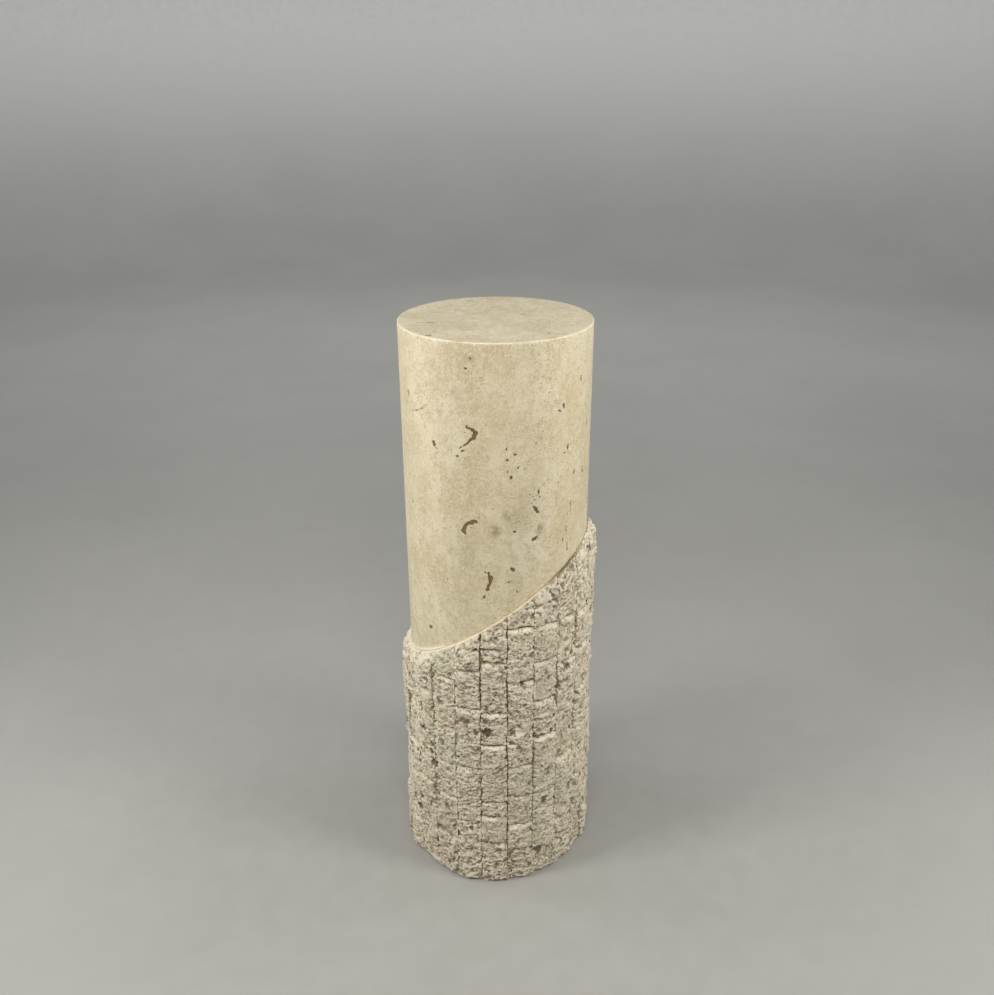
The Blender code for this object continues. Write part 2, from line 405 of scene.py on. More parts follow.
class Finish:
    """A material under construction: its shader and the nodes that feed it."""

    def __init__(self, name):
        self.material = bpy.data.materials.new(name)
        self.material.use_nodes = True
        self.tree = self.material.node_tree
        self.shader = self.tree.nodes["Principled BSDF"]

    def node(self, kind, settings=(), inputs=(), output=0):
        """Adds a node: first its settings, then its sockets' values or wires."""
        made = self.tree.nodes.new(kind)
        for name, value in dict(settings).items():
            setattr(made, name, value)
        for place, value in dict(inputs).items():
            self.fill(made.inputs[place], value)
        return Wire(self, made.outputs[output])

    def fill(self, socket, value):
        if isinstance(value, Wire):
            self.tree.links.new(value.socket, socket)
        else:
            socket.default_value = value

    def set(self, **sockets):
        """Fills the shader's own sockets, named with _ for a space."""
        for name, value in sockets.items():
            self.fill(self.shader.inputs[name.replace("_", " ")], value)

    def place(self):
        return self.node("ShaderNodeTexCoord", output="Object")

    def axis(self, place, name):
        return self.node("ShaderNodeSeparateXYZ", inputs={0: place}, output=name)

    def attribute(self, name):
        return self.node("ShaderNodeAttribute", {"attribute_name": name}, output="Fac")

    def noise(self, place, scale, detail=4.0, roughness=0.55, distortion=0.0):
        inputs = {"Vector": place, "Scale": scale, "Detail": detail,
                  "Roughness": roughness, "Distortion": distortion}
        return self.node("ShaderNodeTexNoise", inputs=inputs, output="Fac")

    def cells(self, place, scale):
        """The distance to the nearest of many points strewn by chance."""
        inputs = {"Vector": place, "Scale": scale}
        return self.node("ShaderNodeTexVoronoi", inputs=inputs, output="Distance")

    def blend(self, factor, first, second):
        """Mixes two colours."""
        settings = {"data_type": "RGBA", "clamp_factor": True}
        first = first if isinstance(first, Wire) else (*first, 1.0)
        second = second if isinstance(second, Wire) else (*second, 1.0)
        return self.node("ShaderNodeMix", settings, {0: factor, 6: first, 7: second}, 2)

    def coat(self, colour, *coats):
        """Lays colours over a first one, in turn, each by the share before it."""
        for share, above in coats:
            colour = self.blend(share, colour, above)
        return colour

    def stretch(self, place, scale):
        """The place, with each axis scaled by its own factor."""
        return self.node("ShaderNodeMapping", inputs={"Vector": place, "Scale": scale})

    def bump(self, height, distance, strength):
        inputs = {"Height": height, "Distance": distance, "Strength": strength}
        return self.node("ShaderNodeBump", inputs=inputs)


# Colours of the honed stone, the split stone and the studio
CREAM = (0.582, 0.503, 0.337)
PALE_CREAM = (0.668, 0.598, 0.437)
DEEP_CREAM = (0.492, 0.412, 0.253)
WORN_CREAM = (0.380, 0.308, 0.184)
OCHRE = (0.475, 0.345, 0.157)
STAIN_GREY = (0.335, 0.275, 0.160)
STAIN_BROWN = (0.225, 0.170, 0.085)
FOSSIL_BROWN = (0.080, 0.056, 0.019)
FOSSIL_CORE = (0.215, 0.156, 0.068)
CHALK = (0.760, 0.705, 0.570)

STONE_GREY = (0.505, 0.437, 0.318)
STONE_BROWN = (0.335, 0.267, 0.172)
DARK_STONE_AND_SHADE = (0.190, 0.148, 0.092)
STONE_PALE = (0.650, 0.592, 0.466)
STONE_GREEN = (0.440, 0.442, 0.305)
STONE_PINK = (0.490, 0.382, 0.288)
EARTH_AND_SHADOW = (0.105, 0.076, 0.042)

FLOOR_GREY = (0.300, 0.292, 0.270)
FLOOR_PALE = (0.342, 0.333, 0.309)
WALL_PALE = (0.54, 0.53, 0.51)


def honed_limestone(first_joint, row_angle, drum_radius, drum_top):
    """Cream fossil limestone, honed: cloudy, flecked, with brown shell marks and hairline joints."""
    finish = Finish("honed limestone")
    place = finish.place()
    across, depth, height = (finish.axis(place, name) for name in "XYZ")
    radius = (across * across + depth * depth) ** 0.5

    strip = (across.maths("ARCTAN2", across, 0 - depth) - first_joint) / row_angle
    shade = finish.node("ShaderNodeTexWhiteNoise", {"noise_dimensions": "1D"}, {"W": strip.floor()})
    on_side = height.below(drum_top - 2.5 * MM, drum_top - 2.0 * MM)
    from_joint = 0.5 - (strip.fraction() - 0.5).size()
    wear = finish.noise(finish.stretch(place, (60, 60, 14)), 1.0, 3, 0.6)
    hairline = from_joint.below(0.002, 0.014) * wear.between(0.50, 0.66) * on_side

    clouds = finish.noise(finish.stretch(place, (1, 1, 0.75)), 15, 4, 0.6, 0.8)
    drifts = finish.noise(finish.stretch(place, (1, 1, 0.6)), 48, 4, 0.65, 0.6)
    mottle = finish.noise(place, 125, 4, 0.65, 0.4)
    grain = finish.noise(place, 400, 4, 0.7)
    brown = finish.attribute("brown_stain") * finish.noise(place, 150, 4, 0.6).between(0.36, 0.62)
    grey = finish.attribute("grey_stain") * finish.noise(place, 190, 4, 0.6).between(0.24, 0.58)

    # Broken shell: dark specks that keep together, pale flecks beside them
    busy = finish.attribute("busy") * on_side
    crowd = (finish.noise(place, 26, 3, 0.6) + busy * 0.06).between(0.50, 0.62)
    shells = finish.cells(finish.stretch(place, (1, 1, 0.8)), 210)
    specks = (shells + (grain - 0.5) * 0.35).below(0.12, 0.24) * crowd
    loose = finish.cells(place, 62) + (grain - 0.5) * 0.10
    flecks = finish.cells(finish.stretch(place, (1, 1, 1.2)), 170).below(0.10, 0.22)

    # Where the lower edge is worn, the larger shell marks, and the top edge with its chips and a painted
    # highlight along its rounding
    edge = finish.attribute("worn")
    worn = edge + (mottle - 0.5) * 0.8
    holes = edge.between(0.10, 0.60) * grain.below(0.34, 0.44)
    mark = finish.attribute("fossil")
    fossil = (mark + (finish.noise(place, 420, 4, 0.75) - 0.5) * 1.0).between(0.36, 0.62)
    core = mark + (finish.noise(place, 560, 3, 0.7) - 0.5) * 1.1
    filling = finish.blend(core.between(0.78, 1.22), FOSSIL_BROWN, FOSSIL_CORE)
    # A painted highlight along the rounded top edge, broken in places; the chips are paler too
    painted_arris_highlight = radius.between(drum_radius - 2.2 * MM, drum_radius - 1.2 * MM)
    painted_arris_highlight = painted_arris_highlight * height.between(drum_top - 1.8 * MM, drum_top - 1.2 * MM)
    painted_arris_highlight = painted_arris_highlight * finish.noise(place, 30, 3, 0.6).between(0.40, 0.60, 0.15, 0.9)
    arris_highlight_and_chips = painted_arris_highlight.most(finish.attribute("chip").between(0.30, 0.75) * 0.9)

    colour = finish.coat(
        finish.blend(clouds.between(0.36, 0.64), DEEP_CREAM, PALE_CREAM),
        (0.35, CREAM),
        (drifts.between(0.46, 0.64) * 0.50, DEEP_CREAM),
        (drifts.below(0.34, 0.45) * 0.45, PALE_CREAM),
        (mottle.between(0.53, 0.63) * 0.42, WORN_CREAM),
        (mottle.below(0.37, 0.47) * 0.50, PALE_CREAM),
        (grain.between(0.53, 0.65) * 0.62, CHALK),
        (grain.below(0.34, 0.44) * 0.50, WORN_CREAM),
        ((shade - 0.5) * on_side * 0.22 + 0.15, DEEP_CREAM),
        (brown, OCHRE),
        (grey * 0.85, STAIN_GREY),
        (specks * 0.75, STAIN_BROWN),
        (loose.below(0.045, 0.095) * 0.80, STAIN_BROWN),
        (flecks * crowd.between(0.0, 0.6, 0.12, 0.80), CHALK),
        (hairline * 0.35, STAIN_GREY),
        (worn.between(0.20, 0.75) * 0.75, CHALK),
        (holes * 0.8, STAIN_BROWN),
        (mark.between(0.02, 0.40) * 0.30, OCHRE),
        (fossil * 0.95, filling),
        (arris_highlight_and_chips * 0.6, CHALK),
    )
    rough = mottle.between(0.3, 0.7, 0.36, 0.50) + fossil * 0.30 + specks * 0.2
    relief = grain * 0.25 + finish.noise(place, 900, 3, 0.6) * 0.2 - specks * 0.8 - fossil * 0.8
    relief = relief - hairline * 0.5 + worn.between(0.1, 0.8) * mottle * 3.0
    finish.set(Base_Color=colour, Roughness=rough, Normal=finish.bump(relief, 0.00035, 0.7))
    finish.set(Specular_IOR_Level=0.45)
    return finish.material


def split_limestone():
    """The same stone, split: grey and beige, with a painted highlight on its ridges and painted shade in
    its hollows, brown pits and grime, and a painted shadow along part of the slanted joint.
    """
    finish = Finish("split limestone")
    place = finish.place()
    tone, hue, painted_relief_light, stain_and_shadow, sawn = (
        finish.attribute(name) for name in ("tone", "hue", "painted_relief_light", "stain_and_shadow", "sawn"))
    patch = finish.noise(place, 42, 4, 0.6, 0.5)
    mottle = finish.noise(finish.stretch(place, (1, 1, 1.35)), 115, 4, 0.68, 0.6)
    grain = finish.noise(place, 290, 4, 0.7)
    relief_light_and_mottle = painted_relief_light + (mottle - 0.5) * 1.0
    pits = (finish.cells(place, 185) + (grain - 0.5) * 0.4).below(0.16, 0.28)
    pits = pits * finish.noise(place, 55, 3, 0.6).between(0.44, 0.58)
    dirt_and_shadow = (stain_and_shadow + (mottle - 0.5) * 0.9).between(0.28, 0.90)
    smooth_edge = (sawn + (mottle - 0.5) * 0.6).between(0.34, 0.66)

    colour = finish.coat(
        finish.blend(patch.between(0.36, 0.54), STONE_BROWN, STONE_GREY),
        (0.10, STONE_GREY),
        (hue.between(0.0, 1.0) * 0.72, STONE_GREEN),
        (hue.below(-1.0, 0.0) * 0.72, STONE_PINK),
        (tone.between(0.0, 1.2) * 0.80, STONE_PALE),
        (tone.below(-1.2, 0.0) * 0.65, STONE_BROWN),
        (mottle.between(0.50, 0.60) * 0.70, STONE_PALE),
        (mottle.below(0.37, 0.45) * 0.60, STONE_BROWN),
        # Painted light from the relief: a painted highlight on the ridges, painted shade in the hollows
        (relief_light_and_mottle.between(-0.10, 0.70) * 0.92, STONE_PALE),
        (relief_light_and_mottle.below(-1.30, -0.16) * 0.76, DARK_STONE_AND_SHADE),
        (pits * 0.60, EARTH_AND_SHADOW),
        (grain.between(0.53, 0.63) * 0.70, STONE_PALE),
        (grain.below(0.33, 0.40) * 0.55, DARK_STONE_AND_SHADE),
        # Brown grime, darker open joints, and the painted shadow along part of the slanted joint
        (dirt_and_shadow * 0.88, EARTH_AND_SHADOW),
        (smooth_edge * 0.9, PALE_CREAM),
    )
    relief = grain * 0.60 + mottle * 0.9 - pits * 0.9 + finish.noise(place, 1300, 2, 0.6) * 0.25
    finish.set(Base_Color=colour, Roughness=grain.between(0.3, 0.7, 0.82, 0.96))
    finish.set(Normal=finish.bump(relief, 0.0015, 0.9), Specular_IOR_Level=0.25)
    return finish.material


def studio_floor():
    finish = Finish("studio floor")
    place = finish.place()
    worn = finish.noise(place, 1.6, 5, 0.6).between(0.3, 0.7)
    fine = finish.noise(place, 26, 4, 0.6).between(0.3, 0.7)
    colour = finish.blend(worn * 0.5 + fine * 0.2, FLOOR_GREY, FLOOR_PALE)
    colour = finish.blend(finish.axis(place, "Z").between(0.02, 1.6), colour, WALL_PALE)
    finish.set(Base_Color=colour, Roughness=fine.between(0.0, 1.0, 0.50, 0.60))
    finish.set(Normal=finish.bump(fine, 0.0004, 0.3))
    return finish.material


def read_points(piece):
    flat = np.empty(len(piece.data.vertices) * 3, np.float32)
    piece.data.vertices.foreach_get("co", flat)
    return flat.reshape(-1, 3).astype(float)


def write_points(piece, points):
    piece.data.vertices.foreach_set("co", points.astype(np.float32).ravel())
    piece.data.update()


def write_attribute(piece, name, values):
    attribute = piece.data.attributes.new(name, "FLOAT", "POINT")
    attribute.data.foreach_set("value", np.asarray(values, np.float32))


def bearing_of(points):
    return np.arctan2(points[:, 0], -points[:, 1])


def radius_of(points):
    return np.hypot(points[:, 0], points[:, 1])


def place_at(bearing, radius, height):
    return np.stack((radius * np.sin(bearing), -radius * np.cos(bearing), height), axis=-1)


def wrap(angle):
    return (angle + np.pi) % (2 * np.pi) - np.pi


def ease(value, low, high):
    """0 below low, 1 above high, and smooth between."""
    share = np.clip((value - low) / (high - low), 0.0, 1.0)
    return share * share * (3 - 2 * share)


def start_shaping(piece):
    bpy.ops.object.select_all(action="DESELECT")
    piece.select_set(True)
    bpy.context.view_layer.objects.active = piece
    bpy.ops.object.mode_set(mode="EDIT")


def stop_shaping():
    bpy.ops.object.mode_set(mode="OBJECT")


def select_where(piece, kind, test):
    """In edit mode, selects the faces or edges that pass the test, and nothing else."""
    bpy.ops.mesh.select_all(action="DESELECT")
    bpy.ops.mesh.select_mode(type=kind)
    shape = bmesh.from_edit_mesh(piece.data)
    for element in (shape.faces if kind == "FACE" else shape.edges):
        if test(element):
            element.select_set(True)
    shape.select_flush_mode()
    bmesh.update_edit_mesh(piece.data)


def move_selected(piece, where):
    """In edit mode, puts each selected point where the function of its place says."""
    shape = bmesh.from_edit_mesh(piece.data)
    for point in shape.verts:
        if point.select:
            point.co = where(point.co)
    bmesh.update_edit_mesh(piece.data)


def distance_to_strokes(across, up, strokes):
    """For each place on a flat sheet: 1 inside a stroke, 0.5 at its edge, 0 outside; and its depth."""
    soft = 1.1
    inside = np.zeros(len(across))
    depth = np.zeros(len(across))
    places = np.stack((across, up, 0 * up), axis=-1)
    across = across + 2.2 * over(places, lambda p: noise.noise((p[0] / 4.2, p[1] / 4.2, 3.3)))
    up = up + 2.2 * over(places, lambda p: noise.noise((p[0] / 4.2, p[1] / 4.2, 9.9)))
    for width, deep, corners in strokes:
        for (x0, y0), (x1, y1) in zip(corners, corners[1:]):
            along = np.array((x1 - x0, y1 - y0))
            length = max(float(along @ along), 1e-9)
            share = np.clip(((across - x0) * along[0] + (up - y0) * along[1]) / length, 0, 1)
            off = np.hypot(across - x0 - share * along[0], up - y0 - share * along[1])
            here = np.clip(0.5 - (off - width / 2) / (2 * soft), 0, 1)
            depth = np.where(here > inside, deep, depth)
            inside = np.maximum(inside, here)
    return inside, depth


def soft_spots(across, up, spots):
    total = np.zeros(len(across))
    for x, y, half_width, half_height, strength in spots:
        off = ((across - x) / half_width) ** 2 + ((up - y) / half_height) ** 2
        total = np.maximum(total, strength * np.exp(-off))
    return total


drum_points = read_points(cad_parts["smooth_shaft"])
DRUM_RADIUS = float(radius_of(drum_points).max())
BED_RADIUS = float(radius_of(drum_points).min())
DRUM_TOP = float(drum_points[:, 2].max())
ROW_NAMES = sorted(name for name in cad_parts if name.startswith("split_stone_row_"))
ROW_ANGLE = 2 * math.pi / len(ROW_NAMES)

# The slanted plane under the honed face, from the drum's lower edge
on_face = np.isclose(radius_of(drum_points), DRUM_RADIUS, atol=0.1 * MM)
lower_edge = drum_points[on_face & (drum_points[:, 2] < DRUM_TOP - 20 * MM)]
sides = np.column_stack((lower_edge[:, :2], np.ones(len(lower_edge))))
slope = np.linalg.lstsq(sides, lower_edge[:, 2], rcond=None)[0]
SLOPE_X, SLOPE_Y, SLOPE_BASE = (float(share) for share in slope)


def border_height(x, y):
    return SLOPE_BASE + SLOPE_X * x + SLOPE_Y * y


def on_side_sheet(bearing, height):
    """A place on the drum's side, laid out flat in millimetres."""
    return math.radians(bearing) * (DRUM_RADIUS / MM), height


def on_top_sheet(x, y):
    """A place on the drum's top, from shares of its radius to millimetres."""
    return x * (DRUM_RADIUS / MM), y * (DRUM_RADIUS / MM)


def lay_strokes(strokes, lay):
    return [(width, depth, [lay(*corner) for corner in corners]) for width, depth, corners in strokes]


def lay_spots(spots, lay):
    return [(*lay(x, y), *size_and_strength) for x, y, *size_and_strength in spots]


def far_side_marks():
    """Plainer marks for the sides that are turned away, drawn by chance."""
    draw = random.Random(SEED)
    strokes = []
    spots = []
    for _ in range(FAR_MARKS):
        bearing = draw.uniform(82, 278)
        height = draw.uniform(430, 890)
        size = draw.choice((1.8, 2.2, 2.6, 3.6, 5.4))
        bearing = bearing - 360 if bearing > 180 else bearing
        heading = draw.uniform(0, math.pi)
        for share in (1.0, 0.8, 0.55)[:draw.choice((1, 2, 2, 3))]:
            step = draw.uniform(0.5, 1.2) * size
            ahead = (bearing + 0.41 * step * math.cos(heading), height + step * math.sin(heading))
            strokes.append((size * share, 0.18 * size, ((bearing, height), ahead)))
            bearing, height = ahead
            heading += draw.uniform(-1.1, 1.1)
    for _ in range(FAR_STAINS):
        bearing = draw.uniform(80, 280)
        bearing = bearing - 360 if bearing > 180 else bearing
        spots.append((bearing, draw.uniform(430, 890), draw.uniform(5, 20),
                      draw.uniform(5, 22), draw.uniform(0.2, 0.5)))
    return strokes, spots


def raise_drum():
    """The drum's bare shape, raised ring by ring from its foot, and still open for shaping."""
    bpy.ops.object.select_all(action="DESELECT")
    bpy.ops.mesh.primitive_circle_add(vertices=DRUM_FACETS, radius=BED_RADIUS, fill_type="NGON")
    drum = bpy.context.active_object
    drum.name = drum.data.name = "honed_drum"
    start_shaping(drum)
    bpy.ops.mesh.select_all(action="SELECT")

    def raise_ring(radius, height_over):
        bpy.ops.mesh.extrude_region_move()

        def where(point):
            flat = Vector((point.x, point.y, 0.0)).normalized() * radius
            return Vector((flat.x, flat.y, height_over(flat.x, flat.y)))

        move_selected(drum, where)

    raise_ring(BED_RADIUS, border_height)
    raise_ring(DRUM_RADIUS, border_height)
    raise_ring(DRUM_RADIUS, lambda x, y: DRUM_TOP - ARRIS)
    for step in range(1, ARRIS_RINGS + 1):
        turn = math.pi / 2 * step / ARRIS_RINGS
        raise_ring(DRUM_RADIUS - ARRIS * (1 - math.cos(turn)),
                   lambda x, y: DRUM_TOP - ARRIS * (1 - math.sin(turn)))
    for step in range(1, TOP_RINGS + 1):
        share = 1 - step / (TOP_RINGS + 0.6)
        raise_ring((DRUM_RADIUS - ARRIS) * share, lambda x, y: DRUM_TOP)

    def is_upright_of_band(edge):
        low, high = sorted(point.co.z for point in edge.verts)
        radii = [point.co.xy.length for point in edge.verts]
        return min(radii) > DRUM_RADIUS - 0.2 * MM and high - low > 50 * MM

    select_where(drum, "EDGE", is_upright_of_band)
    bpy.ops.mesh.subdivide(number_cuts=BAND_RINGS)
    return drum


def cut_near_marks(drum, on_side, on_top):
    """Cuts the faces round each mark finely enough to carry its outline."""
    def near_mark(face):
        centre = face.calc_center_median()
        if centre.z > DRUM_TOP - 0.5 * MM:
            across, up, marks = centre.x / MM, centre.y / MM, on_top
        elif centre.xy.length > DRUM_RADIUS - 1 * MM and centre.z <= DRUM_TOP - ARRIS:
            across = math.atan2(centre.x, -centre.y) * DRUM_RADIUS / MM
            up, marks = centre.z / MM, on_side
        else:
            return False
        for width, _, corners in marks:
            reach = width / 2 + FINE_REACH
            xs, ys = zip(*corners)
            if min(xs) - reach < across < max(xs) + reach and min(ys) - reach < up < max(ys) + reach:
                return True
        return False

    select_where(drum, "FACE", near_mark)
    bpy.ops.mesh.subdivide(number_cuts=FINE_CUTS)


def chips_at(bearing, radius, height):
    """How deep in millimetres the chips along the top edge go at each point."""
    chip = np.zeros(len(bearing))
    for at, width, deep in RIM_CHIPS:
        off = np.abs(wrap(bearing - math.radians(at))) * DRUM_RADIUS / MM
        down = (DRUM_TOP - height) / MM
        inward = (DRUM_RADIUS - radius) / MM
        away = np.hypot(off / (width / 2), (down + inward) / (deep * 2.2))
        chip = np.maximum(chip, np.exp(-away ** 2) * deep)
    return chip


def make_drum():
    """The honed drum, with its marks cut into the skin and its stains laid on."""
    drum = raise_drum()
    far_strokes, far_spots = far_side_marks()
    side_marks = lay_strokes(FOSSILS + tuple(far_strokes), on_side_sheet)
    top_marks = lay_strokes(TOP_FOSSILS, on_top_sheet)
    cut_near_marks(drum, side_marks, top_marks)
    stop_shaping()

    points = read_points(drum)
    radius = radius_of(points)
    bearing = bearing_of(points)
    across, up = bearing * DRUM_RADIUS / MM, points[:, 2] / MM
    top_across, top_up = points[:, 0] / MM, points[:, 1] / MM
    above = (points[:, 2] - border_height(points[:, 0], points[:, 1])) / MM
    on_side = (radius > DRUM_RADIUS - 0.3 * MM) & (points[:, 2] < DRUM_TOP - ARRIS + 0.01 * MM)
    on_side &= above > -0.01
    on_top = points[:, 2] > DRUM_TOP - 0.01 * MM

    fossil, depth = distance_to_strokes(across, up, side_marks)
    top_fossil, top_depth = distance_to_strokes(top_across, top_up, top_marks)
    fossil = np.where(on_side, fossil, np.where(on_top, top_fossil, 0.0))
    sunk = ease(fossil, 0.25, 0.9) * np.where(on_side, depth, top_depth) * MM
    chip = chips_at(bearing, radius, points[:, 2])
    near_rim = radius > DRUM_RADIUS - 6 * MM
    above = np.clip(above, 0, None)
    flare = 1.8 * side_share(bearing, -130.0, -28.0, 16.0) * np.exp(-above / 2.2) * MM
    skin = np.where(on_side, DRUM_RADIUS + flare - sunk, radius)
    skin = np.where(near_rim, skin - chip * 0.6 * MM, skin)
    height = points[:, 2] - np.where(on_top, sunk, 0.0) - np.where(near_rim, chip * 0.7 * MM, 0.0)
    write_points(drum, place_at(bearing, skin, height))

    grey = soft_spots(across, up, lay_spots(GREY_STAINS + tuple(far_spots), on_side_sheet))
    top_grey = soft_spots(top_across, top_up, lay_spots(TOP_STAINS, on_top_sheet))
    brown = soft_spots(across, up, lay_spots(BROWN_STAINS, on_side_sheet))
    worn = side_share(bearing, -128.0, -26.0, 16.0) * np.exp(-above / 4.5)
    write_attribute(drum, "fossil", fossil)
    write_attribute(drum, "grey_stain", np.where(on_side, grey, np.where(on_top, top_grey, 0.0)))
    write_attribute(drum, "brown_stain", np.where(on_side, brown, 0.0))
    write_attribute(drum, "chip", np.clip(chip, 0, 1))
    write_attribute(drum, "worn", worn)
    write_attribute(drum, "busy", side_share(bearing, 12.0, 95.0, 16.0))
    bpy.ops.object.shade_smooth_by_angle(angle=math.radians(38))
    return drum


class Row:
    """Where one row of stones stands, read from its CAD node."""

    def __init__(self, name):
        self.number = int(name.rsplit("_", 1)[1])
        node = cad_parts[name]
        points = read_points(node)
        self.middle = math.atan2(points[:, 0].mean(), -points[:, 1].mean())
        self.back = float(radius_of(points).min())
        off = wrap(bearing_of(points) - self.middle)
        self.half = float(np.abs(off).max())
        corner = points[(radius_of(points) < self.back + 0.05 * MM) & (off > 0.98 * self.half)]
        self.beds = sorted(set(np.round(corner[:, 2] / MM, 1)))[1:-1]
        faces = [tuple(face.vertices) for face in node.data.polygons]
        self.solid = BVHTree.FromPolygons([Vector(p) for p in points], faces)

    def radius(self, bearing, height):
        """Radius of the CAD row's outer face at a bearing and height."""
        outward = Vector((math.sin(bearing), -math.cos(bearing), 0.0))
        start = outward * 0.3 + Vector((0.0, 0.0, height))
        hit = self.solid.ray_cast(start, -outward)[0]
        return hit.xy.length if hit is not None and hit.xy.length > DRUM_RADIUS - 6 * MM else math.nan


def fill_gaps(field):
    """Gives each place that a ray missed the value of its nearest neighbour along the row."""
    for line in range(field.shape[0]):
        values = field[line]
        known = np.flatnonzero(np.isfinite(values))
        if len(known) == 0:
            field[line] = field[line - 1]
        elif len(known) < len(values):
            field[line] = np.interp(np.arange(len(values)), known, values[known])
    return field


def smooth(field, rounds):
    for _ in range(rounds):
        padded = np.pad(field, 1, mode="edge")
        field = (padded[:-2, 1:-1] + 2 * padded[1:-1, 1:-1] + padded[2:, 1:-1]) / 4
        padded = np.pad(field, 1, mode="edge")
        field = (padded[1:-1, :-2] + 2 * padded[1:-1, 1:-1] + padded[1:-1, 2:]) / 4
    return field


def over(places, function):
    """A number for each place of a field of places."""
    flat = [function(place) for place in places.reshape(-1, 3).tolist()]
    return np.array(flat).reshape(places.shape[:-1])


def fractal(places, octaves=3):
    return over(places, lambda place: noise.fractal(place, 1.0, 2.1, octaves))


def scoops(places):
    """0 in the middle of each cell, rising to sharp ridges between the cells."""
    return over(places, lambda place: noise.voronoi(place)[0][0])


def wander(values, size, seed):
    """A slow random walk along a line of values, mostly within -0.5 to 0.5."""
    return np.array([noise.noise((v / size, seed * 7.31, seed * 3.17)) for v in values.tolist()])


def joint_wall(joint, heights):
    """Half width of an upright joint and its sideways drift, in millimetres, at each height."""
    gap = np.interp(heights, *zip(*OPEN_JOINTS.get(joint, OTHER_JOINTS)))
    open_here = 0.75 + 1.1 * wander(heights, 14.0, joint + 0.5) + 0.5 * wander(heights, 4.0, joint + 9.5)
    half_width = np.clip(gap * open_here, 0.35, 3.2) / 2
    drift = 1.1 * wander(heights, 23.0, joint + 40.5) + 0.5 * wander(heights, 6.0, joint + 80.5)
    return half_width, drift


def side_share(bearing, start, end, soft):
    """1 between two bearings in degrees, easing to 0 beyond them."""
    from_start = np.degrees(wrap(bearing - math.radians(start)))
    to_end = np.degrees(wrap(math.radians(end) - bearing))
    return ease(from_start, 0.0, soft) * ease(to_end, 0.0, soft)


